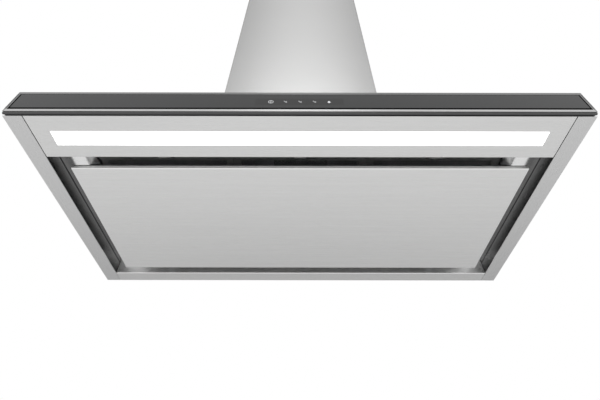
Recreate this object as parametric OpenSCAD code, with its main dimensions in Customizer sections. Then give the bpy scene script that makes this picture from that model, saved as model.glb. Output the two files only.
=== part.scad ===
// Island range hood: a flat perimeter-suction canopy hung from the ceiling on a
// telescopic frame inside a square two-part chimney.
// Millimetres, +Z up, front towards -Y. The origin is the centre of the ceiling
// plate's upper face, so the whole hood hangs below Z = 0.

/* [Canopy] */
// Canopy width
hood_w = 1200; // [900:1:1200]
// Canopy depth
hood_d = 600; // [600:1:650]
// Height of the flat canopy box
canopy_h = 78; // [76:1:84]
// Height from the canopy's underside to the ceiling at the shortest setting
total_h = 1100; // [1090:1:1160]
// Sheet thickness of the canopy parts
sheet_t = 1.2; // [1:0.1:1.5]
// Width of the side frame strips
side_strip_w = 39; // [34:1:44]
// Width of the rear frame strip
rear_strip_w = 39.8; // [36:0.1:46]
// Depth of the front light panel
light_panel_d = 106.7; // [100:0.1:112]
// Depth of the intake cavity below the filter deck
cavity_h = 38; // [37:1:40]

/* [Fascia] */
// How far the fascia stands out in front of the steel body
fascia_proud = 7.7; // [6:0.1:9]
// Depth of the fascia frame from front to back
fascia_d = 22; // [20:1:24]
// Face height of the fascia's top trim
trim_w = 7.8; // [6:0.1:9]
// Face width of the fascia's end trims
end_trim_w = 6; // [4:0.5:8]
// Width of the black recess round the glass
recess_w = 2.5; // [2:0.5:5]
// Thickness of the fascia glass
glass_t = 4; // [3:0.5:5]
// Bottom edge of the glass above the underside
glass_z = 20; // [18:0.1:22]
// Underside of the bottom trim above the canopy's underside
trim_z = 6.4; // [6:0.1:8]
// Face height of the bottom trim
bottom_trim_h = 7.1; // [6:0.1:8]
// Height of the touch keys above the underside
key_h = 42; // [36:0.5:46]
// Distance between touch keys
key_pitch = 30.2; // [26:0.1:36]

/* [Suction panel] */
// Gap from the canopy's side to the suction panel
panel_side = 80; // [76:1:90]
// Air gap in front of the suction panel
gap_front = 32.2; // [26:0.1:34]
// Air gap behind the suction panel
gap_rear = 29.2; // [26:0.1:32]
// Height of the suction panel's rim
panel_rim = 11; // [10:0.5:12]
// Width of the bevel along the edges on both sides of the air gap
bevel_w = 2; // [1.5:0.1:4]

/* [Chimney] */
// Outer width of the lower chimney cover
chimney_w = 404; // [400:1:420]
// Outer width of the upper chimney cover
inner_chimney_w = 390; // [388:1:392]
// Sheet thickness of the chimney covers
cover_t = 1; // [0.8:0.1:1.2]
// Height of the lower chimney cover
lower_cover_h = 880; // [820:1:880]
// Height of the upper chimney cover
upper_cover_h = 427; // [400:1:430]
// Travel of the telescopic frame below its shortest setting
height_travel = 150; // [100:1:150]

/* [Ceiling plate] */
// Ceiling bolt spacing along X
bolt_x = 328; // [326:1:332]
// Ceiling bolt spacing along Y
bolt_y = 220; // [160:1:240]
// Diameter of the ceiling bolt holes
bolt_hole_d = 9; // [8:0.5:10]

/* [Blower] */
// Outer diameter of the duct spigot
duct_d = 150; // [148:1:152]
// Outer diameter of the impeller
impeller_d = 150; // [140:1:150]
// Width of the impeller
impeller_w = 120; // [110:1:124]
// Number of impeller blades on each side
blade_count = 36; // [24:1:40]

/* [Hidden] */

$fn = 48;
eps = 0.01;
steel = [0.76, 0.76, 0.77];
zinc = [0.66, 0.68, 0.70];
black = [0.08, 0.08, 0.09];

// Canopy levels and half sizes
z0 = -total_h;
z_top = z0 + canopy_h;
z_deck = z0 + cavity_h;
hx = hood_w / 2;
hy = hood_d / 2;
inner_x = hx - side_strip_w;
front_in = -hy + light_panel_d;
rear_in = hy - rear_strip_w;
front_edge = -hy - 0.4;
strip_end = front_edge - 2.8;
fold_gap = 0.1;
lip_end = 4;
seam = 1.8;
bevel_h = bevel_w / 2;
front = -hy - fascia_proud;
back_of_fascia = front + fascia_d;

// Suction panel edges and its hinge axis
panel_x = hx - panel_side;
panel_y0 = front_in + gap_front + 0.3;
panel_y1 = rear_in - gap_rear;
hinge_y = panel_y1 - 5;
hinge_z = z0 + 16;
hinge_x = 400;
pin_r = 2;
run_fit = 0.05;

// Filter opening in the deck
open_x = inner_x - 86;
open_y0 = front_in + 28.3;
open_y1 = rear_in - 22.2;
filter_count = 3;
filter_gap = 1.5;
filter_w = (2 * open_x - (filter_count + 1) * filter_gap) / filter_count;
filter_d = open_y1 - open_y0 - 2 * filter_gap;
filter_h = 10;
filter_z = z_deck + 6;
throat_h = 12;
tab_z = z_deck + throat_h + 0.4;
filter_rim = 16;
mesh_t = 2.5;
latch_w = 40;
latch_travel = 5.5;

// Chimney and telescopic frame
lower_top = z_top + lower_cover_h;
upper_bottom = -2 - upper_cover_h;
lap = 16;
angle_t = 2.5;
upper_x = 175;
lower_x = upper_x + 0.3 + angle_t;
upper_leg = 25;
lower_leg = 28;
upper_end = -560;
lower_end = -330;
slide_bolt_z = [-345, -385];
slot_r = 3.3;
bolt_r = 3;
plate_t = 3;
plate_x = 178;
plate_open = 150;
foot_ring = 198;
foot_row = 184;
foot_bolt_x = [-184, -60, 60, 184];
beam_h = 20;
screw_r = 1.6;

// Blower
box_x = 162;
box_y = 158;
box_top = -730;
air_open = 140;
fan_y = -42;
fan_z = -885;
fan_r = impeller_d / 2;
scroll_r0 = fan_r + 7;
scroll_r1 = scroll_r0 + 36;
scroll_half = impeller_w / 2 + 8;
scroll_wall = 2;
tongue_a = 60;
inlet_r = 60;
motor_r = 38;
shaft_r = 4;
spigot_h = 60;
spigot_wall = 3;
spigot_r = duct_d / 2;
flap_z = box_top + 18;
flap_axis = 3.5;
flap_pin_r = 1.5;

// A box given by two opposite corners
module block(a, b) {
    translate(a) cube(b - a);
}

// Extrudes a profile of [y, z] points from x0 to x1
module along_x(x0, x1) {
    translate([x0, 0, 0]) rotate([90, 0, 90]) linear_extrude(x1 - x0) children();
}

// A cylinder along X between two places
module rod_x(x0, x1, y, z, r) {
    translate([x0, y, z]) rotate([0, 90, 0]) cylinder(h = x1 - x0, r = r);
}

// A flat square outline with round corners
module round_square(w, r) {
    square([w - 2 * r, w], center = true);
    square([w, w - 2 * r], center = true);
    for (x = [-1, 1], y = [-1, 1])
        translate([x, y] * (w / 2 - r)) circle(r);
}

// A pan-head screw whose head sits at Z = 0 and whose shank points to -Z
module pan_screw(r, len, head_r, head_h) {
    translate([0, 0, -len]) cylinder(h = len + eps, r = r);
    difference() {
        cylinder(h = head_h, r = head_r);
        for (a = [0, 90])
            rotate(a) translate([-head_r / 2, -0.4, head_h * 0.5]) cube([head_r, 0.8, head_h]);
    }
}

// A hex bolt through a stack of plates: head on Z = 0, nut under the grip length
module hex_bolt(r, grip) {
    cylinder(h = r * 1.3, r = r * 1.9, $fn = 6);
    translate([0, 0, -grip - r * 2.6]) cylinder(h = grip + r * 2.6 + eps, r = r);
    translate([0, 0, -grip - r * 1.7]) difference() {
        cylinder(h = r * 1.7, r = r * 1.9, $fn = 6);
        translate([0, 0, -eps]) cylinder(h = r * 2, r = r - eps);
    }
}

// ---- Ceiling fixing and telescopic frame ----

// Steel plate bolted to the ceiling, with lugs that carry the upper cover
module ceiling_plate() {
    lug_x = inner_chimney_w / 2 - cover_t - 0.1;
    color(zinc) difference() {
        union() {
            block([-plate_x, -plate_x, -plate_t], [plate_x, plate_x, 0]);
            for (a = [0 : 90 : 270], s = [-1, 1]) rotate(a) {
                block([plate_x - 4, s * 80 - 18, -plate_t], [lug_x, s * 80 + 18, 0]);
                block([lug_x - 2, s * 80 - 18, -28], [lug_x, s * 80 + 18, 0]);
            }
        }
        block([-plate_open, -plate_open, -plate_t - 1], [plate_open, plate_open, 1]);
        for (x = [-1, 1], y = [-1, 1])
            translate([x * bolt_x / 2, y * bolt_y / 2, -plate_t - 1])
                cylinder(h = plate_t + 2, d = bolt_hole_d);
        for (a = [0 : 90 : 270], s = [-1, 1])
            rotate(a) rod_x(lug_x - 4, lug_x + 1, s * 80, -16, screw_r);
    }
}

// Four angle uprights, outer faces at +-x, one leg along each axis
module uprights(x, leg, za, zb) {
    for (a = [0 : 90 : 270]) rotate(a) difference() {
        block([x - leg, x - leg, za], [x, x, zb]);
        block([x - leg - 1, x - leg - 1, za - 1], [x - angle_t, x - angle_t, zb + 1]);
    }
}

// Inner half of the telescopic frame, hung from the ceiling plate
module upper_frame() {
    strap_z = -300;
    strap_h = 25;
    slot_top = slide_bolt_z[0] + 10;
    slot_end = slide_bolt_z[1] - height_travel - 10;
    color(zinc) difference() {
        union() {
            uprights(upper_x, upper_leg, upper_end, -plate_t);
            for (a = [0 : 90 : 270]) rotate(a)
                block([upper_x - 2 * angle_t, -upper_x + angle_t, strap_z],
                      [upper_x - angle_t, upper_x - angle_t, strap_z + strap_h]);
        }
        for (x = [-1, 1], y = [-1, 1]) translate([x * upper_x, y * (upper_x - 13), 0]) {
            block([-8, -slot_r, slot_end], [8, slot_r, slot_top]);
            for (z = [slot_end, slot_top]) rod_x(-8, 8, 0, z, slot_r);
        }
    }
}

// Outer half of the telescopic frame, standing on the canopy
module lower_frame() {
    strap_z = -610;
    strap_h = 25;
    color(zinc) difference() {
        union() {
            uprights(lower_x, lower_leg, z_top, lower_end);
            for (a = [0 : 90 : 270]) rotate(a)
                block([lower_x - angle_t, -lower_x, strap_z], [lower_x, lower_x, strap_z + strap_h]);
            difference() {
                block([-foot_ring, -foot_ring, z_top], [foot_ring, foot_ring, z_top + angle_t]);
                block([-lower_x + angle_t, -lower_x + angle_t, z_top - 1],
                      [lower_x - angle_t, lower_x - angle_t, z_top + 5]);
            }
        }
        for (x = [-1, 1], y = [-1, 1], z = slide_bolt_z)
            translate([x * lower_x, y * (upper_x - 13), z]) rod_x(-8, 8, 0, 0, bolt_r);
        for (x = foot_bolt_x, y = [-1, 1])
            translate([x, y * foot_row, z_top - 1]) cylinder(h = angle_t + 2, r = bolt_r + 0.2);
    }
}

// Bolts that clamp the two frame halves at the height that was set
module frame_bolts() {
    grip = 2 * angle_t + 0.3 + 0.3;
    color(steel) for (x = [-1, 1], y = [-1, 1], z = slide_bolt_z)
        translate([x * lower_x, y * (upper_x - 13), z]) rotate([0, x * 90, 0]) hex_bolt(bolt_r, grip);
}

// Bolts from the frame's foot ring through the canopy top into its beams
module foot_bolts() {
    grip = angle_t + 2 * sheet_t;
    color(steel) for (x = foot_bolt_x, y = [-1, 1])
        translate([x, y * foot_row, z_top + angle_t]) hex_bolt(bolt_r, grip);
}

// ---- Chimney covers ----

// Square tube wall of a chimney cover
module cover_wall(w, za, zb) {
    translate([0, 0, za]) linear_extrude(zb - za) difference() {
        round_square(w, 2.5);
        round_square(w - 2 * cover_t, 1.5);
    }
}

// The half of a cover in front of the joint
module cover_front(w, za, zb, holes) {
    difference() {
        intersection() {
            cover_wall(w, za, zb);
            block([-w, -w, za - 1], [w, -0.15, zb + 1]);
        }
        for (z = holes) rod_x(-w, w, -lap / 2, z, screw_r);
    }
}

// The half behind the joint, with joggled laps that tuck inside the front half
module cover_rear(w, za, zb, holes) {
    lap_x = w / 2 - cover_t - 0.1;
    difference() {
        union() {
            intersection() {
                cover_wall(w, za, zb);
                block([-w, 0.15, za - 1], [w, w, zb + 1]);
            }
            for (s = [-1, 1]) {
                block([min(s * (lap_x - cover_t), s * lap_x), -lap, za + 3],
                      [max(s * (lap_x - cover_t), s * lap_x), 6, zb - 3]);
                block([min(s * (lap_x - cover_t), s * w / 2), 3, za + 3],
                      [max(s * (lap_x - cover_t), s * w / 2), 6, zb - 3]);
            }
        }
        for (z = holes) rod_x(-w, w, -lap / 2, z, screw_r);
    }
}

// Screws through a cover's two laps
module lap_screws(w, holes) {
    for (s = [-1, 1], z = holes)
        translate([s * w / 2, -lap / 2, z]) rotate([0, s * 90, 0])
            pan_screw(screw_r, 2 * cover_t + 1.2, 3, 1.2);
}

upper_holes = [for (i = [0 : 2]) -80 - i * 140];
lower_holes = [for (i = [0 : 3]) z_top + 60 + i * 250];
lug_holes = [for (a = [0 : 90 : 270], s = [-1, 1]) [a, s * 80]];

module lug_screw_holes(r) {
    for (h = lug_holes) rotate(h[0]) rod_x(inner_chimney_w / 2 - 5, inner_chimney_w / 2 + 2, h[1], -16, r);
}

module upper_cover_front() {
    color(steel) difference() {
        cover_front(inner_chimney_w, upper_bottom, -2, upper_holes);
        lug_screw_holes(screw_r);
    }
}

module upper_cover_rear() {
    color(steel) difference() {
        cover_rear(inner_chimney_w, upper_bottom, -2, upper_holes);
        lug_screw_holes(screw_r);
    }
}

module upper_cover_screws() {
    color(steel) {
        lap_screws(inner_chimney_w, upper_holes);
        for (h = lug_holes)
            rotate(h[0]) translate([inner_chimney_w / 2, h[1], -16]) rotate([0, 90, 0])
                pan_screw(screw_r, cover_t + 3, 3, 1.2);
    }
}

module lower_cover_front() {
    color(steel) cover_front(chimney_w, z_top, lower_top, lower_holes);
}

module lower_cover_rear() {
    color(steel) cover_rear(chimney_w, z_top, lower_top, lower_holes);
}

module lower_cover_screws() {
    color(steel) lap_screws(chimney_w, lower_holes);
}

// ---- Canopy ----

// Top, outer side walls, rear wall and the wall that backs the fascia
module canopy_top() {
    color(steel) difference() {
        union() {
            block([-hx, back_of_fascia, z_top - sheet_t], [hx, hy, z_top]);
            for (s = [-1, 1]) {
                block([min(s * hx, s * (hx - sheet_t)), back_of_fascia, z0 + sheet_t],
                      [max(s * hx, s * (hx - sheet_t)), hy, z_top]);
                block([min(s * hx, s * (hx - sheet_t)), -hy + lip_end, z0 + sheet_t],
                      [max(s * hx, s * (hx - sheet_t)), back_of_fascia + 1, z0 + trim_z - fold_gap]);
            }
            block([-hx, hy - sheet_t, z0 + sheet_t], [hx, hy, z_top]);
            block([-hx, back_of_fascia, z0 + trim_z], [hx, back_of_fascia + sheet_t, z_top]);
        }
        block([-air_open, -air_open, z_top - 5], [air_open, air_open, z_top + 5]);
        for (x = foot_bolt_x, y = [-1, 1])
            translate([x, y * foot_row, z_top - 5]) cylinder(h = 10, r = bolt_r + 0.2);
        translate([0, back_of_fascia - 1, z0 + key_h + 4]) rotate([-90, 0, 0]) cylinder(h = 4, r = 12);
    }
}

// Two channels under the canopy top that carry the frame's foot ring
module canopy_beams() {
    top = z_top - sheet_t;
    half = 15;
    color(zinc) for (s = [-1, 1]) difference() {
        along_x(-hx + 2 * sheet_t + 1, hx - 2 * sheet_t - 1) translate([s * foot_row, 0]) difference() {
            translate([-half, top - beam_h]) square([2 * half, beam_h]);
            translate([-half + sheet_t, top - beam_h - 1]) square([2 * (half - sheet_t), beam_h + 1 - sheet_t]);
        }
        for (x = foot_bolt_x)
            translate([x, s * foot_row, top - 5]) cylinder(h = 10, r = bolt_r + 0.2);
    }
}

// Folded strip along one side of the underside, with the cavity's side wall
module side_frame(s) {
    color(steel) mirror([s < 0 ? 1 : 0, 0, 0]) {
        block([inner_x, front_edge, z0], [hx, hy, z0 + sheet_t]);
        block([inner_x, front_in - sheet_t, z0], [inner_x + sheet_t, hy - sheet_t - fold_gap, z_deck]);
        block([hx - 2 * sheet_t - fold_gap, back_of_fascia + 2, z0],
              [hx - sheet_t - fold_gap, hy - sheet_t - fold_gap, z0 + 14]);
    }
}

module side_frame_left() { side_frame(-1); }
module side_frame_right() { side_frame(1); }

// Rear strip between the side strips, bevelled towards the air gap
module rear_frame() {
    bevel = bevel_w;
    rise = bevel_h;
    t = sheet_t;
    back = hy - t - fold_gap;
    color(steel) along_x(-inner_x + seam / 2, inner_x - seam / 2) polygon([
        [hy, z0], [rear_in + bevel, z0], [rear_in, z0 + rise], [rear_in, z_deck],
        [rear_in + t, z_deck], [rear_in + t, z0 + rise + 0.6], [rear_in + bevel + 0.4, z0 + t],
        [back - t, z0 + t], [back - t, z0 + 14], [back, z0 + 14], [back, z0 + t], [hy, z0 + t]
    ]);
}

// Plate above the cavity, with a stiffening flange and the throat that holds the filters
module filter_deck() {
    x1 = inner_x + sheet_t;
    y0 = front_in - sheet_t;
    y1 = rear_in + sheet_t;
    t = sheet_t;
    top = z_deck + throat_h;
    color(steel) difference() {
        block([-x1, y0, z_deck], [x1, y1, top]);
        block([-open_x, open_y0, z_deck - 1], [open_x, open_y1, top + 1]);
        difference() {
            block([-x1 + t, y0 + t, z_deck + t], [x1 - t, y1 - t, top + 1]);
            block([-open_x - t, open_y0 - t, z_deck], [open_x + t, open_y1 + t, top + 2]);
        }
    }
}

// ---- Light ----

window_y0 = -hy + 37.2;
window_y1 = -hy + 73.6;
window_x = hx - 79;
tray_z = z0 + 22;

// Front panel of the underside with the light window and the cavity's front wall
module light_panel() {
    t = sheet_t;
    fold_y = -hy + 10;
    fold_top = z0 + trim_z - 0.5;
    edge = 1;
    color(steel) difference() {
        along_x(-inner_x + seam, inner_x - seam) polygon([
            [front_edge, z0], [front_in - edge, z0], [front_in, z0 + edge], [front_in, z_deck],
            [front_in - t, z_deck], [front_in - t, z0 + edge + 0.4], [front_in - edge - 0.4, z0 + t],
            [fold_y + t, z0 + t], [fold_y + t, fold_top], [fold_y, fold_top], [fold_y, z0 + t],
            [front_edge, z0 + t]
        ]);
        block([-window_x, window_y0, z0 - 1], [window_x, window_y1, z0 + 5]);
    }
}

// White tray that carries the light strip above the diffuser
module light_tray() {
    m = 8;
    t = 1;
    base = z0 + sheet_t;
    color("white") difference() {
        union() {
            block([-window_x - m, window_y0 - m, base + 3], [window_x + m, window_y1 + m, tray_z + t]);
            block([-window_x - m - 8, window_y0 - m, base + 3],
                  [window_x + m + 8, window_y1 + m, base + 3 + t]);
        }
        block([-window_x - m + t, window_y0 - m + t, base], [window_x + m - t, window_y1 + m - t, tray_z]);
    }
}

// Opal window, flush with the underside, with a lip that rests inside the panel
module light_diffuser() {
    lip = 6;
    gap = 0.15;
    color([0.98, 0.98, 0.98]) {
        block([-window_x + gap, window_y0 + gap, z0 + 0.2],
              [window_x - gap, window_y1 - gap, z0 + sheet_t + 2]);
        block([-window_x - lip, window_y0 - lip, z0 + sheet_t + 0.1],
              [window_x + lip, window_y1 + lip, z0 + sheet_t + 2]);
    }
}

// Aluminium strip board with one light chip every 26 mm
module led_board() {
    mid = (window_y0 + window_y1) / 2;
    chip = 3.5;
    count = floor(window_x / 26);
    color("gold") {
        block([-window_x + 4, mid - 8, tray_z - 1.6], [window_x - 4, mid + 8, tray_z]);
        for (i = [-count : count])
            block([i * 26 - chip / 2, mid - chip / 2, tray_z - 2.4],
                  [i * 26 + chip / 2, mid + chip / 2, tray_z - 1.5]);
    }
}

// Power supply of the light, screwed under the canopy top
module led_driver() {
    top = z_top - sheet_t;
    color(zinc) difference() {
        union() {
            block([-350, -260, top - 30], [-200, -216, top]);
            block([-364, -250, top - 2], [-186, -226, top]);
        }
        for (x = [-358, -192]) translate([x, -238, top - 3]) cylinder(h = 4, r = 2.2);
    }
}

// ---- Fascia ----

// Metal trim round the glass: top bar, two grooved ends and the bright bottom bar
module fascia_frame() {
    t = 1.5;
    za = z0 + trim_z;
    y1 = back_of_fascia;
    groove_x = 2;
    groove_w = 1;
    groove_d = 0.7;
    color(steel) difference() {
        union() {
            block([-hx, front, z_top - trim_w], [hx, front + t, z_top]);
            block([-hx, front, z_top - t], [hx, y1, z_top]);
            for (s = [-1, 1]) {
                block([min(s * hx, s * (hx - end_trim_w)), front, za],
                      [max(s * hx, s * (hx - end_trim_w)), front + t, z_top]);
                block([min(s * hx, s * (hx - t)), front, za], [max(s * hx, s * (hx - t)), y1, z_top]);
            }
            block([-hx, front, za], [hx, front + t, za + bottom_trim_h]);
            block([-hx, front, za], [hx, y1, za + t]);
        }
        for (s = [-1, 1])
            block([s * (hx - groove_x - groove_w / 2) - groove_w / 2, front - 1, za - 1],
                  [s * (hx - groove_x - groove_w / 2) + groove_w / 2, front + groove_d, z_top - trim_w]);
    }
}

glass_x = hx - end_trim_w - recess_w;
glass_top = z_top - trim_w - 0.2;

// Dark glass front
module fascia_glass() {
    color([0.22, 0.22, 0.23])
        block([-glass_x, front + 0.5, z0 + glass_z], [glass_x, front + 0.5 + glass_t, glass_top]);
}

carrier_y = front + 0.6 + glass_t;
key_z = z0 + key_h;

// Black moulding behind the glass, with a rim round it and bosses that meet the canopy
module fascia_carrier() {
    t = 3.5;
    rim_y = front + 2;
    rim_z = z0 + trim_z + bottom_trim_h + 0.1;
    rim_x = hx - end_trim_w - 0.1;
    boss = 6;
    color(black) difference() {
        union() {
            block([-hx + 2, carrier_y, z0 + trim_z + 2], [hx - 2, carrier_y + t, z_top - 2]);
            block([-rim_x, rim_y, rim_z], [rim_x, carrier_y + 1, z0 + glass_z - 0.1]);
            for (s = [-1, 1])
                block([min(s * (glass_x + 0.1), s * rim_x), rim_y, rim_z],
                      [max(s * (glass_x + 0.1), s * rim_x), carrier_y + 1, z_top - trim_w - 0.1]);
            for (i = [-2.5 : 2.5], z = [24, 60])
                block([i * 210 - boss, carrier_y, z0 + z - boss],
                      [i * 210 + boss, back_of_fascia, z0 + z + boss]);
        }
        block([-96, carrier_y - 1, key_z - 13], [96, carrier_y + t + 1, key_z + 13]);
    }
}

// Dark strip under the bright bottom bar, folded back towards the underside
module fascia_strip() {
    y = front + 0.7;
    za = z0 + 0.4;
    zb = z0 + trim_z - fold_gap;
    t = sheet_t;
    end_gap = 2.5;
    color([0.3, 0.3, 0.31]) along_x(-hx + end_gap, hx - end_gap) polygon([
        [y, zb], [y, za + 0.6], [y + 0.6, za], [strip_end, za], [strip_end, za + t], [y + t, za + t],
        [y + t, zb - t], [-hy + lip_end - 0.5, zb - t], [-hy + lip_end - 0.5, zb]
    ]);
}

// Touch sensor board behind the glass
module touch_board() {
    color("darkgreen") {
        block([-94, carrier_y, key_z - 11], [94, carrier_y + 1.6, key_z + 11]);
        for (i = [-2 : 2])
            block([i * key_pitch - 4, carrier_y + 1.5, key_z - 4],
                  [i * key_pitch + 4, carrier_y + 2.6, key_z + 4]);
    }
}

// Places a flat icon on the front of the glass at key number i
module key_icon(i) {
    translate([i * key_pitch, front + 0.5, key_z]) rotate([90, 0, 0]) linear_extrude(0.3) children();
}

// A short slanted stroke with round ends
module stroke(len, w) {
    square([len, w], center = true);
    for (x = [-len / 2, len / 2]) translate([x, 0]) circle(w / 2);
}

// Lit marks of the five touch keys: power, three fan speeds and lamp
module touch_icons() {
    ring = 5.6;
    slant = -48;
    color("white") {
        key_icon(-2) {
            difference() {
                circle(ring);
                circle(ring - 1.4);
            }
            square([1.4, 2 * ring - 2], center = true);
        }
        for (i = [-1 : 1]) {
            key_icon(i) translate([-0.6, 0.6]) rotate(slant) stroke(5.6, 2.4);
            key_icon(i) translate([2.4, -0.4]) rotate(90) stroke(4.4 - i, 1.6);
        }
        key_icon(2) {
            polygon([[-3.8, -2.2], [3.8, -2.2], [0, 4]]);
            circle(1);
            translate([0, -3.1]) circle(1.5);
        }
    }
}

// ---- Electronics ----

// Control housing under the canopy top, behind the fascia
module control_box() {
    top = z_top - sheet_t;
    t = 2;
    color(black) difference() {
        block([190, -272, top - 36], [350, -206, top]);
        block([190 + t, -272 + t, top - 36 + t], [350 - t, -206 - t, top - t]);
        translate([230, -207, top - 16]) rotate([90, 0, 0]) cylinder(h = 4, r = 5, center = true);
    }
}

// Power and control board inside the control housing
module control_board() {
    base = z_top - sheet_t - 30;
    color("darkgreen") {
        block([196, -266, base], [344, -212, base + 1.6]);
        block([210, -258, base + 1.5], [238, -236, base + 20]);
        for (x = [256 : 18 : 310]) translate([x, -248, base + 1.5]) cylinder(h = 16, r = 6);
        block([262, -230, base + 1.5], [328, -218, base + 12]);
    }
}

// Terminal box beside the duct, where the supply cable from the ceiling ends
gland_x = 138;
module junction_box() {
    t = 2.5;
    color(black) difference() {
        block([114, -50, box_top], [160, 50, box_top + 44]);
        block([114 + t, -50 + t, box_top + t], [160 - t, 50 - t, box_top + 44 - t]);
        translate([gland_x, 0, box_top + 40]) cylinder(h = 6, r = 8);
    }
}

// Cable gland in the terminal box, bored for the supply cable
module cable_gland() {
    z = box_top + 44;
    color("dimgray") difference() {
        union() {
            translate([gland_x, 0, z - 8]) cylinder(h = 16, r = 8);
            translate([gland_x, 0, z]) cylinder(h = 5, r = 12, $fn = 6);
            translate([gland_x, 0, z + 6]) cylinder(h = 13, r = 10.5, $fn = 6);
            translate([gland_x, 0, z - 7.5]) cylinder(h = 5, r = 11, $fn = 6);
        }
        translate([gland_x, 0, z - 9]) cylinder(h = 30, r = 4.5);
    }
}

// ---- Suction panel ----

// Shallow tray that closes the cavity, bevelled along its front edge
module suction_panel() {
    t = sheet_t;
    z1 = z0 + panel_rim;
    notch = 14;
    color(steel) difference() {
        union() {
            along_x(-panel_x, panel_x) polygon([
                [panel_y0 + bevel_w, z0], [panel_y1, z0], [panel_y1, z1], [panel_y1 - t, z1],
                [panel_y1 - t, z0 + t], [panel_y0 + bevel_w + 0.4, z0 + t],
                [panel_y0 + t, z0 + bevel_h + 0.6], [panel_y0 + t, z1], [panel_y0, z1], [panel_y0, z0 + bevel_h]
            ]);
            for (s = [-1, 1]) along_x(s * panel_x - (s + 1) / 2 * t, s * panel_x + (1 - s) / 2 * t) polygon([
                [panel_y0 + bevel_w, z0], [panel_y1, z0], [panel_y1, z1],
                [panel_y0, z1], [panel_y0, z0 + bevel_h]
            ]);
        }
        for (s = [-1, 1])
            block([s * hinge_x - notch, panel_y1 - 8, z0 + 2], [s * hinge_x + notch, panel_y1 + 1, z1 + 1]);
    }
}

// Inner sheet that closes the tray from above
module panel_liner() {
    t = sheet_t;
    z1 = z0 + panel_rim;
    color(steel)
        block([-panel_x + t + 0.2, panel_y0 + t + 0.2, z1 - t], [panel_x - t - 0.2, panel_y1 - 34, z1]);
}

// Outline of a hinge plate that reaches from a base to the eye round the pin
module hinge_eye(base) {
    circle_at_pin();
    polygon(base);
}

module circle_at_pin() {
    translate([hinge_y, hinge_z]) circle(5);
}

// Arms on the suction panel that turn on the hinge pins
module hinge_arms() {
    base = z0 + sheet_t;
    arm = 3;
    color(zinc) for (s = [-1, 1]) difference() {
        union() {
            along_x(s * hinge_x - arm, s * hinge_x + arm)
                hinge_eye([[hinge_y - 24, base], [hinge_y + 3, base],
                           [hinge_y + 5, hinge_z], [hinge_y - 5, hinge_z]]);
            block([s * hinge_x - 12, hinge_y - 24, base], [s * hinge_x + 12, hinge_y + 3, base + 1.5]);
        }
        rod_x(s * hinge_x - 9, s * hinge_x + 9, hinge_y, hinge_z, pin_r + run_fit);
    }
}

// Fixed brackets under the deck's rear edge, two ears each
module hinge_brackets() {
    ear = 2;
    gap = 3.4;
    color(zinc) for (s = [-1, 1]) {
        for (e = [-1, 1]) difference() {
            along_x(s * hinge_x + e * gap - (1 - e) / 2 * ear, s * hinge_x + e * gap + (1 + e) / 2 * ear)
                hinge_eye([[hinge_y - 4, hinge_z + 3], [hinge_y + 14, z_deck], [hinge_y + 26, z_deck],
                           [hinge_y + 26, z_deck - 4], [hinge_y + 4.5, hinge_z - 2]]);
            rod_x(s * hinge_x - 9, s * hinge_x + 9, hinge_y, hinge_z, pin_r);
        }
        block([s * hinge_x - gap - 0.5, hinge_y + 14, z_deck - 2],
              [s * hinge_x + gap + 0.5, hinge_y + 26, z_deck]);
    }
}

// Pins fixed in the brackets' ears
module hinge_pins() {
    color(steel) for (s = [-1, 1]) {
        rod_x(s * hinge_x - 7, s * hinge_x + 5.4, hinge_y, hinge_z, pin_r);
        rod_x(s * hinge_x + 5.4, s * hinge_x + 7, hinge_y, hinge_z, pin_r + 1.2);
    }
}

catch_x = open_x + 25;
catch_y = -108;

// Magnets under the deck's side strips that hold the panel shut
module catch_magnets() {
    face = z0 + panel_rim + 1.8;
    color(black) for (s = [-1, 1]) {
        block([s * catch_x - 15, catch_y - 10, face], [s * catch_x + 15, catch_y + 10, z_deck]);
        block([s * catch_x - 15, catch_y - 18, z_deck - 3], [s * catch_x + 15, catch_y + 18, z_deck]);
    }
}

// Steel plates on the panel that meet the magnets
module catch_plates() {
    z = z0 + panel_rim;
    color(zinc) for (s = [-1, 1])
        block([s * catch_x - 16, catch_y - 12, z], [s * catch_x + 16, catch_y + 12, z + 1.5]);
}

// ---- Grease filters ----

// Centre of filter number i, counted -1, 0, 1 from the left
function filter_x(i) = i * (filter_w + filter_gap);
fy0 = open_y0 + filter_gap;
fy1 = open_y1 - filter_gap;

// Aluminium rim with a groove for the mesh, rear tabs and a pocket for the latch
module filter_frame(i) {
    half = filter_w / 2;
    z1 = filter_z + filter_h;
    mid = filter_z + filter_h / 2;
    color([0.8, 0.8, 0.82]) translate([filter_x(i), 0, 0]) difference() {
        union() {
            block([-half, fy0, filter_z], [half, fy1, z1]);
            for (s = [-1, 1])
                block([s * 90 - 12, fy1 - 2, tab_z], [s * 90 + 12, fy1 + 7, tab_z + 2]);
        }
        block([-half + filter_rim, fy0 + filter_rim, filter_z - 1],
              [half - filter_rim, fy1 - filter_rim, z1 + 1]);
        block([-half + 4, fy0 + 12, mid - mesh_t / 2], [half - 4, fy1 - 4, mid + mesh_t / 2]);
        block([-latch_w / 2 - 0.5, fy0 - 1, filter_z - 1], [latch_w / 2 + 0.5, fy0 + 10.5, z1 + 1]);
        block([-latch_w / 2 - 2, fy0 - 1, filter_z + 4], [latch_w / 2 + 2, fy0 + 10.5, filter_z + 7]);
    }
}

// Pack of mesh, as one sheet held in the rim's groove
module filter_mesh(i) {
    half = filter_w / 2;
    mid = filter_z + filter_h / 2;
    color([0.7, 0.7, 0.72]) translate([filter_x(i), 0, 0])
        block([-half + 4.2, fy0 + 12.2, mid - mesh_t / 2 + 0.05],
              [half - 4.2, fy1 - 4.2, mid + mesh_t / 2 - 0.05]);
}

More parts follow.
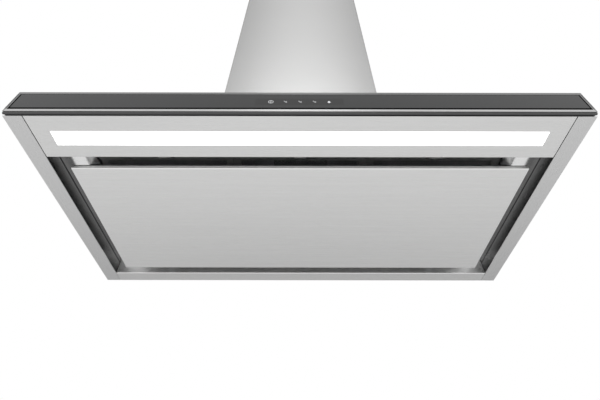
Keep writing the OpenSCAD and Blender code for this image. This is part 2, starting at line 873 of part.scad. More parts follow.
// Sliding latch: a tongue over the deck's edge and a finger pull below
module filter_latch(i) {
    half = latch_w / 2;
    back = fy0 + 4.5;
    color(black) translate([filter_x(i), 0, 0]) {
        block([-half, fy0 + 0.3, filter_z + 0.5], [half, back, filter_z + filter_h]);
        block([-half - 1.3, fy0 + 0.3, filter_z + 4.5], [half + 1.3, back, filter_z + 6.5]);
        block([-14, fy0 - 6, tab_z], [14, fy0 + 1, tab_z + 2.2]);
        block([-14, back - 2, filter_z - 9], [14, back, filter_z + 1]);
        block([-14, back - 4, filter_z - 9], [14, back - 1, filter_z - 7]);
    }
}

module filter_frame_left() { filter_frame(-1); }
module filter_frame_centre() { filter_frame(0); }
module filter_frame_right() { filter_frame(1); }
module filter_mesh_left() { filter_mesh(-1); }
module filter_mesh_centre() { filter_mesh(0); }
module filter_mesh_right() { filter_mesh(1); }
module filter_latch_left() { filter_latch(-1); }
module filter_latch_centre() { filter_latch(0); }
module filter_latch_right() { filter_latch(1); }

// ---- Blower ----

// Sheet box over the canopy's air opening that holds the fan
module blower_box() {
    t = sheet_t;
    color(zinc) difference() {
        union() {
            block([-box_x, -box_y, z_top], [box_x, box_y, box_top]);
            block([-box_x - 10, -box_y - 10, z_top], [box_x + 10, box_y + 10, z_top + t]);
        }
        block([-box_x + t, -box_y + t, z_top - 1], [box_x - t, box_y - t, box_top - t]);
        block([-scroll_half, outlet_y0, box_top - 5], [scroll_half, outlet_y1, box_top + 5]);
    }
}

// Spiral wall of the fan housing: the radius grows evenly round the fan
function spiral_r(a) = scroll_r0 + (scroll_r1 - scroll_r0) * (a - tongue_a) / (360 - tongue_a);
outlet_y0 = fan_y + scroll_r0 * cos(tongue_a);
outlet_y1 = fan_y + scroll_r1;

// Outline of the air space in the housing, grown by w and running up to height top
module scroll_area(w, top) {
    polygon(concat(
        [for (a = [tongue_a : 10 : 360])
            [fan_y + (spiral_r(a) + w) * cos(a), fan_z + (spiral_r(a) + w) * sin(a)]],
        [[outlet_y1 + w, top], [outlet_y0 - w, top]]
    ));
}

// One half of the fan housing: side wall with inlet ring and half of the spiral wall
module scroll_half_shell(s) {
    top = box_top - sheet_t - 0.2;
    w = scroll_wall;
    color(black) mirror([s < 0 ? 1 : 0, 0, 0]) difference() {
        union() {
            difference() {
                along_x(0.1, scroll_half) scroll_area(w, top);
                along_x(-1, scroll_half - w) scroll_area(0, top + 5);
            }
            rod_x(scroll_half - 1, scroll_half + 5, fan_y, fan_z, inlet_r + 4);
        }
        rod_x(scroll_half - w - 1, scroll_half + 6, fan_y, fan_z, inlet_r);
    }
}

module scroll_left() { scroll_half_shell(-1); }
module scroll_right() { scroll_half_shell(1); }

// Double-inlet wheel: centre disc, hub, forward-curved blades and two end rings
module impeller() {
    half = impeller_w / 2;
    root_r = fan_r - 16;
    color([0.75, 0.76, 0.78]) difference() {
        union() {
            along_x(-half, half) translate([fan_y, fan_z])
                for (a = [0 : 360 / blade_count : 359]) rotate(a)
                    polygon([[root_r, 0], [root_r + 8, 2.6], [fan_r - 1, 8], [fan_r - 0.6, 9.4],
                             [root_r + 7.4, 3.9], [root_r - 0.3, 1.3]]);
            rod_x(-1.5, 1.5, fan_y, fan_z, fan_r - 2);
            rod_x(-14, 14, fan_y, fan_z, 12);
            for (x = [-half, half - 3]) difference() {
                rod_x(x, x + 3, fan_y, fan_z, fan_r);
                rod_x(x - 1, x + 4, fan_y, fan_z, fan_r - 7);
            }
        }
        rod_x(-half, half, fan_y, fan_z, shaft_r);
    }
}

// Shaft that carries the wheel in the motor's bearings
module rotor_shaft() {
    color(steel) rod_x(-scroll_half, 20, fan_y, fan_z, shaft_r);
}

// Motor inside the left inlet
module motor() {
    color(zinc) difference() {
        union() {
            rod_x(-scroll_half - 4, -20, fan_y, fan_z, motor_r);
            rod_x(-20.5, -16, fan_y, fan_z, 14);
        }
        rod_x(-scroll_half - 1, -10, fan_y, fan_z, shaft_r + run_fit);
    }
}

// Three-armed plate that holds the motor on the left inlet
module motor_bracket() {
    x1 = -scroll_half - 5;
    color(zinc) {
        along_x(x1 - 2.5, x1) translate([fan_y, fan_z]) {
            circle(30);
            for (a = [0, 120, 240]) rotate(a) translate([0, -7]) square([inlet_r + 3, 14]);
        }
        rod_x(x1 - 1, -scroll_half - 4, fan_y, fan_z, 20);
    }
}

// Run capacitor clipped inside the blower box
module capacitor() {
    color("whitesmoke") {
        translate([box_x - sheet_t - 20, 100, fan_z]) cylinder(h = 70, r = 17);
        translate([box_x - sheet_t - 20, 100, fan_z - 8]) cylinder(h = 9, r = 4);
    }
}

// Round outlet on top of the box, with a seat for the damper flaps
module outlet_spigot() {
    inner = spigot_r - spigot_wall;
    color(black) translate([0, 0, box_top]) difference() {
        union() {
            difference() {
                cylinder(h = spigot_h, r = spigot_r, $fn = 96);
                translate([0, 0, -1]) cylinder(h = spigot_h + 2, r = inner, $fn = 96);
            }
            difference() {
                cylinder(h = 3, r = spigot_r + 13);
                translate([0, 0, -1]) cylinder(h = 5, r = inner);
                block([spigot_r + 5, -60, -1], [spigot_r + 40, 60, 5]);
            }
            translate([0, 0, 13]) difference() {
                cylinder(h = 4, r = inner + 0.5);
                translate([0, 0, -1]) cylinder(h = 6, r = inner - 4);
            }
            block([-2, -inner - 0.5, 12], [2, inner + 0.5, 15.5]);
        }
        for (s = [-1, 1]) translate([s * flap_axis, 0, flap_z - box_top]) rotate([90, 0, 0])
            cylinder(h = 2 * inner + 3, r = flap_pin_r + run_fit, center = true);
    }
}

// Half-round non-return flap with its pin; s is the side it closes
module damper_flap(s) {
    r = spigot_r - spigot_wall - 1.5;
    t = 1.2;
    color("silver") translate([0, 0, flap_z]) {
        intersection() {
            translate([0, 0, -t / 2]) cylinder(h = t, r = r);
            translate([s > 0 ? flap_axis : -r - 5, -r, -t]) cube([r + 5 - flap_axis, 2 * r, 2 * t]);
        }
        translate([s * flap_axis, 0, 0]) rotate([90, 0, 0])
            cylinder(h = 2 * (r + 2.4), r = flap_pin_r, center = true);
    }
}

module damper_flap_left() { damper_flap(-1); }
module damper_flap_right() { damper_flap(1); }

ceiling_plate();
upper_frame();
upper_cover_front();
upper_cover_rear();
upper_cover_screws();
lower_frame();
frame_bolts();
foot_bolts();
lower_cover_front();
lower_cover_rear();
lower_cover_screws();
canopy_top();
canopy_beams();
side_frame_left();
side_frame_right();
rear_frame();
filter_deck();
light_panel();
light_tray();
light_diffuser();
led_board();
led_driver();
fascia_frame();
fascia_glass();
fascia_carrier();
fascia_strip();
touch_board();
touch_icons();
control_box();
control_board();
suction_panel();
panel_liner();
hinge_arms();
hinge_brackets();
hinge_pins();
catch_magnets();
catch_plates();
filter_frame_left();
filter_frame_centre();
filter_frame_right();
filter_mesh_left();
filter_mesh_centre();
filter_mesh_right();
filter_latch_left();
filter_latch_centre();
filter_latch_right();
blower_box();
scroll_left();
scroll_right();
impeller();
rotor_shaft();
motor();
motor_bracket();
capacitor();
outlet_spigot();
damper_flap_left();
damper_flap_right();
junction_box();
cable_gland();
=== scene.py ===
import math

import bpy
from mathutils import Matrix, Vector


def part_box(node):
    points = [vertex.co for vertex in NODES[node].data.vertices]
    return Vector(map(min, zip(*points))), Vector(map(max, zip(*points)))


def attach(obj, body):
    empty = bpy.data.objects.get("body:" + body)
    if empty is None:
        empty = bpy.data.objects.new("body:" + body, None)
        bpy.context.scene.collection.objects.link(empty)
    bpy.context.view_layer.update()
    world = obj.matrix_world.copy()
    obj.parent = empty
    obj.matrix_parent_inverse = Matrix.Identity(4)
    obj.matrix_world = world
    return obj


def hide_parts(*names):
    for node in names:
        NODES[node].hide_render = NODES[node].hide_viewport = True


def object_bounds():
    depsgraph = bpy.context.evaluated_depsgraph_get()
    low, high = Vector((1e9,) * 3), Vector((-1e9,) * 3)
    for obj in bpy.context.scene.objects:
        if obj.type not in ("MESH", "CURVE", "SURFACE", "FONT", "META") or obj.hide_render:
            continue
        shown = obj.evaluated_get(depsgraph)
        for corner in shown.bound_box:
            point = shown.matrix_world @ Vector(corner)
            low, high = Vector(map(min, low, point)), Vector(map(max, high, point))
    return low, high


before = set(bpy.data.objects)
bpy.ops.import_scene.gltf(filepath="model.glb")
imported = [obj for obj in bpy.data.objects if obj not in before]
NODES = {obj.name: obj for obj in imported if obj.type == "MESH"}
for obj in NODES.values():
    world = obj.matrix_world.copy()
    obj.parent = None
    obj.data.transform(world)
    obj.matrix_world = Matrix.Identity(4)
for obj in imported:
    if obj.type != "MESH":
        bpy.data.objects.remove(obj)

CAD_BOX = [list(corner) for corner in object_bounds()]
MM = 0.001

# Level of the canopy's underside, from which heights are counted
UNDER = CAD_BOX[0][2]

# ---- Camera settings ----

# A wide lens, in millimetres, and its sideways shift as a part of the picture's width
SENSOR = 36
LENS = 23.58
SHIFT_X = -0.0047
# The camera stands below and in front of the canopy and looks up; angles in degrees
CAMERA_PLACE = (0.0062, -0.7507, UNDER - 0.6728)
CAMERA_RISE = 44.17
CAMERA_ROLL = 0.086

# ---- Light and floor settings ----

# Brightness of the studio in front of the hood and behind it, and where along Y it stops changing
STUDIO_FRONT = 0.95
STUDIO_BACK = 0.66
STUDIO_REACH = 0.8
# The overhead part of the sky fades in between these two heights. Its brightness is multiplied by
# BAND_CENTRE along the middle and by BAND_EDGE from BAND_HALF outwards on either side.
OVERHEAD_HEIGHT = (0.86, 0.90)
BAND_HALF = 0.22
BAND_CENTRE = 0.9
BAND_EDGE = 0.2
# One soft light high in front: its middle, what it points at, its two sides, and its power in watts
KEY_PLACE = (0.0, -3.2, 0.4)
KEY_TARGET = (0, 0, -0.6)
KEY_SIZE = (1.2, 2.0)
KEY_POWER = 48
# The floor: its level, half its side, its grey below the hood and far behind it, and the stretch along
# Y where that changes. The darkening towards the back is painted shade.
FLOOR_Z = UNDER - 1.65
FLOOR_HALF = 40.0
FLOOR_NEAR = 0.93
FLOOR_FAR = 0.57
FLOOR_FADE = (1.0, 3.3)

# ---- Material settings ----

# Axis numbers that tell a brushed metal which way its lines run
X, Y, Z = range(3)
# Most of a noise texture's values lie between these two
NOISE_RANGE = (0.3, 0.7)
# Fineness along and across brushed lines, and of the broad bands of slightly different tone
BRUSH_LINES = (8.0, 2200.0)
BRUSH_BANDS = (1.0, 9.0)
FINE_BANDS = (2.5, 110.0)
GRAIN_DEPTH = 0.1 * MM
# Paint and plastic: fineness of the texture and of the mottle, and how strong both are
PAINT_FINE = 900.0
PAINT_BROAD = 10.8
PAINT_FLECK = 0.05
PAINT_BUMP = 0.08
# Zinc: size and contrast of the crystals, their roughness, and the fine texture over them
ZINC_CELLS = 70.0
ZINC_FLECK = 0.12
ZINC_ROUGH = (0.42, 0.5)
ZINC_FINE = 300.0
ZINC_BUMP = 0.05
ZINC_DEPTH = 0.2 * MM
# Lit surfaces: fineness and strength of their mottle, and their roughness
GLOW_FINE = 30.0
GLOW_FLECK = 0.01
GLOW_ROUGH = 0.4
# Glass and floor: fineness of the unevenness, and roughness
GLASS_FINE = 8.0
GLASS_ROUGH = (0.05, 0.09)
FLOOR_FINE = 4.0
FLOOR_ROUGH = (0.8, 0.95)
# Half sizes of the darker window behind the touch keys, and its grey against the glass
KEY_WINDOW = {"X": 0.092, "Z": 0.012}
KEY_WINDOW_SHADE = 0.3

GLASS_GREY = (0.012, 0.0125, 0.013)
# Every steel below is the same brushed stainless; their greys differ as painted light and shade, each
# set lighter or darker to match how bright its part comes out. The lightest grey carries the painted
# highlights on bevels, and the deck's pale grey is a painted reflection inside the cavity.
BODY_STEEL = (0.8, 0.8, 0.795)
HIGHLIGHT_STEEL = (0.975, 0.975, 0.97)
FRONT_STEEL = (0.84, 0.84, 0.835)
SIDE_STEEL = (0.73, 0.73, 0.73)
DECK_PAINTED_LIGHT_STEEL = (0.97, 0.97, 0.97)
CHIMNEY_STEEL = (0.54, 0.54, 0.537)
TRIM_GREY = (0.56, 0.56, 0.56)

# ---- Filter mesh settings ----

# Length and depth of a diamond, a strand's width, twist and thickness, and how far each layer lies
# from the middle
MESH_PITCH = (9 * MM, 4.2 * MM)
STRAND_WIDTH = 1.5 * MM
STRAND_TWIST = 0.3 * MM
STRAND_THICK = 0.35 * MM
LAYER_OFFSET = 0.55 * MM


# ---- Shader helpers ----

def coordinates(tree, kind="Object"):
    """X, Y and Z in the object's own coordinates, or in another kind, as three sockets."""
    coord = tree.nodes.new("ShaderNodeTexCoord")
    split = tree.nodes.new("ShaderNodeSeparateXYZ")
    tree.links.new(coord.outputs[kind], split.inputs[0])
    return split.outputs


def map_range(tree, value, source, target, ease="LINEAR"):
    """Maps a value from the range source to the range target and holds it at the ends."""
    node = tree.nodes.new("ShaderNodeMapRange")
    node.interpolation_type = ease
    node.inputs["From Min"].default_value, node.inputs["From Max"].default_value = source
    node.inputs["To Min"].default_value, node.inputs["To Max"].default_value = target
    tree.links.new(value, node.inputs["Value"])
    return node.outputs["Result"]


def maths(tree, operation, *values):
    """The result of one maths node; each value is a socket or a number."""
    node = tree.nodes.new("ShaderNodeMath")
    node.operation = operation
    for socket, value in zip(node.inputs, values):
        if isinstance(value, (int, float)):
            socket.default_value = value
        else:
            tree.links.new(value, socket)
    return node.outputs[0]


def mix_colours(tree, factor, first, second):
    """The colour first where factor is 0, and second where it is 1."""
    node = tree.nodes.new("ShaderNodeMix")
    node.data_type = "RGBA"
    node.inputs["A"].default_value = (*first, 1)
    node.inputs["B"].default_value = (*second, 1)
    tree.links.new(factor, node.inputs["Factor"])
    return node.outputs["Result"]


def tint(tree, value, colour, amount):
    """colour, made lighter and darker by amount as value goes from 0 to 1."""
    darker = [c * (1 - amount) for c in colour]
    lighter = [min(1.0, c * (1 + amount)) for c in colour]
    return mix_colours(tree, value, darker, lighter)


def noise(tree, scale, detail=4.0, rough=0.6):
    """A noise texture in the object's own coordinates; scale is a number, or one for each axis."""
    coord = tree.nodes.new("ShaderNodeTexCoord")
    mapping = tree.nodes.new("ShaderNodeMapping")
    mapping.inputs["Scale"].default_value = scale if isinstance(scale, tuple) else (scale,) * 3
    tex = tree.nodes.new("ShaderNodeTexNoise")
    tex.inputs["Scale"].default_value = 1.0
    tex.inputs["Detail"].default_value = detail
    tex.inputs["Roughness"].default_value = rough
    tree.links.new(coord.outputs["Object"], mapping.inputs["Vector"])
    tree.links.new(mapping.outputs["Vector"], tex.inputs["Vector"])
    return tex.outputs["Fac"]


def add_bump(tree, shader, height, strength, distance):
    """Bump from a height value."""
    node = tree.nodes.new("ShaderNodeBump")
    node.inputs["Strength"].default_value = strength
    node.inputs["Distance"].default_value = distance
    tree.links.new(height, node.inputs["Height"])
    tree.links.new(node.outputs["Normal"], shader.inputs["Normal"])


def new_material(name):
    """A new material, its node tree and its shader."""
    material = bpy.data.materials.new(name)
    material.use_nodes = True
    tree = material.node_tree
    return material, tree, tree.nodes["Principled BSDF"]


def grain(axis, along, across):
    """Noise scale that draws lines along one axis."""
    return tuple(along if i == axis else across for i in range(3))


# ---- Materials ----

def brushed(name, colour, axis, rough=(0.26, 0.34), fleck=0.02, anisotropy=0.4, round_axis="X",
            turn=0.0, streak=0.05, bands=BRUSH_BANDS):
    """Brushed metal with fine lines along axis. Its glints stretch round round_axis; turn, a part
    of a full turn, rotates them. fleck is the contrast of the bands, streak the depth of the lines."""
    material, tree, shader = new_material(name)
    tangent = tree.nodes.new("ShaderNodeTangent")
    tangent.direction_type = "RADIAL"
    tangent.axis = round_axis
    tree.links.new(tangent.outputs[0], shader.inputs["Tangent"])
    shader.inputs["Metallic"].default_value = 1.0
    shader.inputs["Anisotropic"].default_value = anisotropy
    shader.inputs["Anisotropic Rotation"].default_value = turn
    lines = noise(tree, grain(axis, *BRUSH_LINES), detail=3.0, rough=0.5)
    broad = noise(tree, grain(axis, *bands), detail=2.0, rough=0.5)
    tree.links.new(map_range(tree, lines, NOISE_RANGE, rough), shader.inputs["Roughness"])
    tone = map_range(tree, broad, NOISE_RANGE, (0, 1))
    tree.links.new(tint(tree, tone, colour, fleck), shader.inputs["Base Color"])
    add_bump(tree, shader, lines, streak, GRAIN_DEPTH)
    return material


def painted(name, colour, rough=(0.4, 0.55), metallic=0.0, coat=0.0, gloss=0.5):
    """Paint, moulded plastic or plain aluminium with a fine even texture."""
    material, tree, shader = new_material(name)
    fine = noise(tree, PAINT_FINE, detail=3.0)
    broad = noise(tree, PAINT_BROAD, detail=3.0)
    shader.inputs["Metallic"].default_value = metallic
    shader.inputs["Coat Weight"].default_value = coat
    shader.inputs["Specular IOR Level"].default_value = gloss
    tree.links.new(map_range(tree, fine, NOISE_RANGE, rough), shader.inputs["Roughness"])
    tone = map_range(tree, broad, NOISE_RANGE, (0, 1))
    tree.links.new(tint(tree, tone, colour, PAINT_FLECK), shader.inputs["Base Color"])
    add_bump(tree, shader, fine, PAINT_BUMP, GRAIN_DEPTH)
    return material


def galvanised(name, colour):
    """Zinc-coated sheet with its pale crystal pattern."""
    material, tree, shader = new_material(name)
    coord = tree.nodes.new("ShaderNodeTexCoord")
    cells = tree.nodes.new("ShaderNodeTexVoronoi")
    cells.inputs["Scale"].default_value = ZINC_CELLS
    tree.links.new(coord.outputs["Object"], cells.inputs["Vector"])
    split = tree.nodes.new("ShaderNodeSeparateColor")
    tree.links.new(cells.outputs["Color"], split.inputs[0])
    crystal = split.outputs[0]
    shader.inputs["Metallic"].default_value = 1.0
    tree.links.new(map_range(tree, crystal, NOISE_RANGE, ZINC_ROUGH), shader.inputs["Roughness"])
    tree.links.new(tint(tree, crystal, colour, ZINC_FLECK), shader.inputs["Base Color"])
    add_bump(tree, shader, noise(tree, ZINC_FINE), ZINC_BUMP, ZINC_DEPTH)
    return material


def dark_glass(name):
    """Grey glass painted on its back, with a faint darker window behind the touch keys."""
    material, tree, shader = new_material(name)
    keys_low, keys_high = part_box("touch_icons")
    middle = dict(zip("XYZ", (keys_low + keys_high) / 2))
    place = coordinates(tree)
    inside = []
    for axis, half in KEY_WINDOW.items():
        distance = maths(tree, "ABSOLUTE", maths(tree, "SUBTRACT", place[axis], middle[axis]))
        inside.append(maths(tree, "LESS_THAN", distance, half))
    window = maths(tree, "MULTIPLY", *inside)
    darker = [c * KEY_WINDOW_SHADE for c in GLASS_GREY]
    tree.links.new(mix_colours(tree, window, GLASS_GREY, darker), shader.inputs["Base Color"])
    uneven = noise(tree, GLASS_FINE)
    tree.links.new(map_range(tree, uneven, NOISE_RANGE, GLASS_ROUGH), shader.inputs["Roughness"])
    return material


def glowing(name, colour, strength):
    """A lit surface with a slight mottle."""
    material, tree, shader = new_material(name)
    shade = tint(tree, noise(tree, GLOW_FINE), colour, GLOW_FLECK)
    tree.links.new(shade, shader.inputs["Base Color"])
    tree.links.new(shade, shader.inputs["Emission Color"])
    shader.inputs["Emission Strength"].default_value = strength
    shader.inputs["Roughness"].default_value = GLOW_ROUGH
    return material


def floor_paint(name):
    """A matt floor that is palest below the hood and grows darker towards the back, as painted shade.
    """
    material, tree, shader = new_material(name)
    back = map_range(tree, coordinates(tree)["Y"], FLOOR_FADE, (0, 1), "SMOOTHSTEP")
    shade = mix_colours(tree, back, (FLOOR_NEAR,) * 3, (FLOOR_FAR,) * 3)
    tree.links.new(shade, shader.inputs["Base Color"])
    uneven = noise(tree, FLOOR_FINE)
    tree.links.new(map_range(tree, uneven, NOISE_RANGE, FLOOR_ROUGH), shader.inputs["Roughness"])
    return material


def above(*stops):
    """Stops for vary along Z, given in millimetres above the canopy's underside."""
    return [(UNDER + height * MM, factor) for height, factor in stops]


def vary(material, axis, stops, socket="Base Color"):
    """Multiplies a material's colour or roughness by a factor that changes along one axis of the
    object. stops are (place, factor); between them the factor changes evenly."""
    tree = material.node_tree
    target = tree.nodes["Principled BSDF"].inputs[socket]
    before = target.links[0].from_socket
    low, high = stops[0][0], stops[-1][0]
    place = map_range(tree, coordinates(tree)[axis], (low, high), (0, 1))
    curve = tree.nodes.new("ShaderNodeFloatCurve")
    points = curve.mapping.curves[0].points
    while len(points) < len(stops):
        points.new(0.5, 0.5)
    for point, (where, factor) in zip(points, stops):
        point.location = ((where - low) / (high - low), factor)
        point.handle_type = "VECTOR"
    curve.mapping.update()
    tree.links.new(place, curve.inputs["Value"])
    scale = tree.nodes.new("ShaderNodeVectorMath")
    scale.operation = "SCALE"
    tree.links.new(before, scale.inputs[0])
    tree.links.new(curve.outputs[0], scale.inputs["Scale"])
    tree.links.new(scale.outputs[0], target)
    return material


# The shades below are painted light and shade: they stand in for the contrast of a narrow cavity under
# a light that comes from all sides.

# Side strips: full tone below, then painted shade that makes the walls inside the cavity dark and
# nearly black at the deck
SIDE_SHADE = above((0, 1), (1.3, 1), (1.5, 0.1), (35.3, 0.25), (35.6, 0.03), (39, 0.03))
# Rear strip: its flat face painted duller than its bevel, so the bevel carries a painted highlight;
# the bevel is also smoother than the wall above it
REAR_SHADE = above((0, 0.82), (0.02, 1), (40, 1))
REAR_ROUGH = above((0, 0.75), (1.3, 0.75), (1.5, 1), (40, 1))
# Suction panel: its flat face, a painted highlight on its bevel, painted shade on its rim, and a band
# of painted shadow along the rim's top
PANEL_SHADE = above((0, 0.9), (0.02, 1), (0.98, 1), (1, 0.82), (8.4, 0.82), (8.5, 0.05), (11, 0.05))
# Fascia trim: a painted highlight on the bottom bar, and painted shade on the ends and top
TRIM_SHADE = above((0, 1), (14.5, 1), (15, 0.42), (80, 0.42))
# Dark strip: dark grey along its bottom edge, where it carries a painted highlight, and nearly black
# above, in painted shadow
STRIP_SHADE = above((0, 1), (1.2, 1), (1.4, 0.2), (8, 0.2))
# Touch marks, from the power mark on the left to the lamp on the right
KEY_SHADE = [(-0.07, 0.7), (-0.046, 0.7), (-0.044, 0.42), (0.044, 0.42), (0.046, 1), (0.07, 1)]

MATERIALS = {
    "panel_steel": vary(brushed("panel_steel", HIGHLIGHT_STEEL, X, fleck=0.013, streak=0.03,
                                bands=FINE_BANDS), "Z", PANEL_SHADE),
    "liner_steel": brushed("liner_steel", BODY_STEEL, X),
    "front_steel": brushed("front_steel", FRONT_STEEL, X, fleck=0.013, streak=0.03,
                           bands=FINE_BANDS),
    "rear_steel": vary(vary(brushed("rear_steel", HIGHLIGHT_STEEL, X, (0.36, 0.44)), "Z", REAR_SHADE),
                       "Z", REAR_ROUGH, "Roughness"),
    "side_steel": vary(brushed("side_steel", SIDE_STEEL, Y), "Z", SIDE_SHADE),
    "top_steel": brushed("top_steel", BODY_STEEL, X),
    "chimney_steel": brushed("chimney_steel", CHIMNEY_STEEL, X, (0.262, 0.27), 0.006,
                             anisotropy=0.75, round_axis="Z", turn=0.25, streak=0.004),
    "cavity_steel": brushed("cavity_steel", DECK_PAINTED_LIGHT_STEEL, X, (0.12, 0.18)),
    "fascia_trim": vary(brushed("fascia_trim", TRIM_GREY, X, (0.2, 0.28)), "Z", TRIM_SHADE),
    "dark_glass": dark_glass("dark_glass"),
    "dark_strip": vary(painted("dark_strip", (0.06, 0.06, 0.061), (0.35, 0.45)), "Z", STRIP_SHADE),
    "black_plastic": painted("black_plastic", (0.012, 0.012, 0.013)),
    "recess_black": painted("recess_black", (0.006, 0.006, 0.006), (0.75, 0.85), gloss=0.08),
    "gland_plastic": painted("gland_plastic", (0.06, 0.06, 0.065)),
    "opal": glowing("opal", (1.0, 1.0, 1.0), 1.4),
    "white_tray": painted("white_tray", (0.85, 0.85, 0.85)),
    "icon": vary(glowing("icon", (0.62, 0.63, 0.64), 0.12), "X", KEY_SHADE),
    "board_green": painted("board_green", (0.012, 0.09, 0.035), (0.25, 0.4), coat=0.3),
    "light_board": painted("light_board", (0.8, 0.8, 0.76), (0.3, 0.45)),
    "zinc": galvanised("zinc", (0.6, 0.61, 0.63)),
    "bright_steel": brushed("bright_steel", (0.72, 0.72, 0.73), Z, (0.2, 0.3)),
    "filter_rim": brushed("filter_rim", (0.86, 0.86, 0.86), X, (0.3, 0.42)),
    "filter_mesh": painted("filter_mesh", (0.55, 0.55, 0.56), (0.35, 0.5), metallic=1.0),
    "capacitor": painted("capacitor", (0.8, 0.8, 0.76), (0.3, 0.4)),
    "flap_metal": brushed("flap_metal", (0.62, 0.62, 0.63), Y, (0.3, 0.4)),
    "floor": floor_paint("floor"),
}

NODE_MATERIAL = {
    "panel_steel": ["suction_panel"],
    "liner_steel": ["panel_liner"],
    "front_steel": ["light_panel"],
    "rear_steel": ["rear_frame"],
    "top_steel": ["canopy_top"],
    "side_steel": ["side_frame_left", "side_frame_right"],
    "cavity_steel": ["filter_deck"],
    "chimney_steel": ["upper_cover_front", "upper_cover_rear", "lower_cover_front",
                      "lower_cover_rear"],
    "fascia_trim": ["fascia_frame"],
    "dark_glass": ["fascia_glass"],
    "dark_strip": ["fascia_strip"],
    "recess_black": ["fascia_carrier"],
    "black_plastic": ["control_box", "scroll_left", "scroll_right", "outlet_spigot",
                      "junction_box", "catch_magnets"],
    "gland_plastic": ["cable_gland"],
    "opal": ["light_diffuser"],
    "white_tray": ["light_tray"],
    "icon": ["touch_icons"],
    "board_green": ["touch_board", "control_board"],
    "light_board": ["led_board"],
    "zinc": ["ceiling_plate", "upper_frame", "lower_frame", "canopy_beams", "hinge_arms",
             "hinge_brackets", "blower_box", "motor_bracket", "catch_plates", "impeller", "motor",
             "led_driver"],
    "bright_steel": ["frame_bolts", "foot_bolts", "upper_cover_screws", "lower_cover_screws",
                     "hinge_pins", "rotor_shaft"],
    "filter_rim": ["filter_frame_left", "filter_frame_centre", "filter_frame_right",
                   "filter_latch_left", "filter_latch_centre", "filter_latch_right"],
    "filter_mesh": ["filter_mesh_left", "filter_mesh_centre", "filter_mesh_right"],
    "capacitor": ["capacitor"],
    "flap_metal": ["damper_flap_left", "damper_flap_right"],
}


def paint_nodes():
    """Gives every CAD node its material."""
    for material, names in NODE_MATERIAL.items():
        for name in names:
            for slot in NODES[name].material_slots:
                slot.material = MATERIALS[material]


# ---- Camera, light and floor ----

def make_camera():
    """Adds the camera and makes it the scene's."""
    data = bpy.data.cameras.new("camera")
    data.sensor_width = SENSOR
    data.lens = LENS
    data.shift_x = SHIFT_X
    data.dof.use_dof = False
    camera = bpy.data.objects.new("camera", data)
    bpy.context.collection.objects.link(camera)
    camera.location = CAMERA_PLACE
    # An unturned camera looks straight down, so the horizon is a quarter turn up.
    rise = Matrix.Rotation(math.radians(90 + CAMERA_RISE), 3, "X")
    roll = Matrix.Rotation(math.radians(CAMERA_ROLL), 3, "Z")
    camera.rotation_euler = (rise @ roll).to_euler()
    bpy.context.scene.camera = camera


def area_light(name, place, target, size, power):
    """A soft white rectangular light that the camera doesn't see, turned towards target."""
    data = bpy.data.lights.new(name, "AREA")
    data.shape = "RECTANGLE"
    data.size, data.size_y = size
    data.energy = power
    light = bpy.data.objects.new(name, data)
    bpy.context.collection.objects.link(light)
    light.location = place
    light.visible_camera = False
    light.rotation_euler = (Vector(target) - light.location).to_track_quat("-Z", "Y").to_euler()


def background(tree):
    """A white background for a world."""
    node = tree.nodes.new("ShaderNodeBackground")
    node.inputs["Color"].default_value = (1, 1, 1, 1)
    node.inputs["Strength"].default_value = 1.0
    return node


def make_world():
    """White to the camera. To the surfaces it is a studio, bright in front and dimmer behind, that
    is dark overhead but for a brighter band from front to back."""
    world = bpy.data.worlds.new("studio")
    bpy.context.scene.world = world
    world.use_nodes = True
    tree = world.node_tree
    tree.nodes.clear()
    sky = coordinates(tree, "Generated")
    base = map_range(tree, sky["Y"], (-STUDIO_REACH, STUDIO_REACH), (STUDIO_FRONT, STUDIO_BACK),
                     "SMOOTHSTEP")
    overhead = map_range(tree, sky["Z"], OVERHEAD_HEIGHT, (0, 1), "SMOOTHSTEP")
    across = maths(tree, "ABSOLUTE", sky["X"])
    change = map_range(tree, across, (0, BAND_HALF), (BAND_CENTRE - 1, BAND_EDGE - 1), "SMOOTHSTEP")
    level = maths(tree, "ADD", 1.0, maths(tree, "MULTIPLY", overhead, change))
    lit, seen = background(tree), background(tree)
    tree.links.new(maths(tree, "MULTIPLY", base, level), lit.inputs["Strength"])
    path = tree.nodes.new("ShaderNodeLightPath")
    mix = tree.nodes.new("ShaderNodeMixShader")
    tree.links.new(path.outputs["Is Camera Ray"], mix.inputs["Fac"])
    tree.links.new(lit.outputs[0], mix.inputs[1])
    tree.links.new(seen.outputs[0], mix.inputs[2])
    out = tree.nodes.new("ShaderNodeOutputWorld")
    tree.links.new(mix.outputs[0], out.inputs["Surface"])


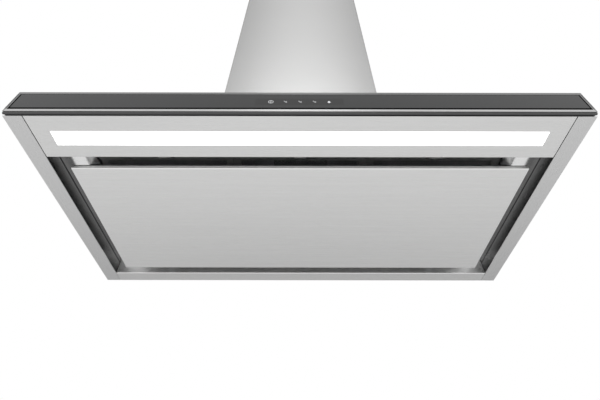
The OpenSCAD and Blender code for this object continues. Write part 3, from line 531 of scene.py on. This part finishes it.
def make_floor():
    """A pale floor below the hood, darkened towards the back by painted shade."""
    half = FLOOR_HALF
    corners = [(-half, -half), (half, -half), (half, half), (-half, half)]
    mesh = bpy.data.meshes.new("floor")
    mesh.from_pydata([(x, y, FLOOR_Z) for x, y in corners], [], [(0, 1, 2, 3)])
    floor = bpy.data.objects.new("floor", mesh)
    bpy.context.collection.objects.link(floor)
    floor.data.materials.append(MATERIALS["floor"])


# ---- Pieces that the CAD only stands in for ----

def expanded_layer(verts, faces, low, high, level, flip):
    """Adds one layer of expanded metal between the corners low and high, at height level:
    zigzag strands, twisted, each meeting its neighbours. flip, 0 or 1, shifts it by half a
    diamond, so that two layers cross."""
    pitch_x, pitch_y = MESH_PITCH
    step = pitch_x / 2
    count = int((high.x - low.x) / step)
    rows = int((high.y - low.y) / pitch_y)
    start_x = (low.x + high.x - count * step) / 2
    start_y = (low.y + high.y - rows * pitch_y) / 2 + pitch_y / 2
    for row in range(rows):
        middle = start_y + row * pitch_y
        first = len(verts)
        for i in range(count + 1):
            side = 1 if (i + row + flip) % 2 else -1
            x = start_x + i * step
            y = middle + side * (pitch_y - STRAND_WIDTH) / 2
            verts.append((x, y - STRAND_WIDTH / 2, level - STRAND_TWIST))
            verts.append((x, y + STRAND_WIDTH / 2, level + STRAND_TWIST))
        for i in range(count):
            a = first + 2 * i
            faces.append((a, a + 2, a + 3, a + 1))


def make_filter_mesh():
    """Two layers of expanded aluminium in place of each filter's plain sheet."""
    for side in ("left", "centre", "right"):
        low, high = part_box("filter_mesh_" + side)
        middle = (low.z + high.z) / 2
        verts, faces = [], []
        for flip, offset in enumerate((-LAYER_OFFSET, LAYER_OFFSET)):
            expanded_layer(verts, faces, low, high, middle + offset, flip)
        mesh = bpy.data.meshes.new("expanded_mesh_" + side)
        mesh.from_pydata(verts, [], faces)
        obj = bpy.data.objects.new("expanded_mesh_" + side, mesh)
        bpy.context.collection.objects.link(obj)
        thick = obj.modifiers.new("thickness", "SOLIDIFY")
        thick.thickness = STRAND_THICK
        thick.offset = 0
        obj.data.materials.append(MATERIALS["filter_mesh"])
        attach(obj, "canopy")
        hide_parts("filter_mesh_" + side)


make_camera()
make_world()
make_floor()
area_light("key", KEY_PLACE, KEY_TARGET, KEY_SIZE, KEY_POWER)
paint_nodes()
make_filter_mesh()

bpy.context.scene.view_settings.view_transform = "Standard"
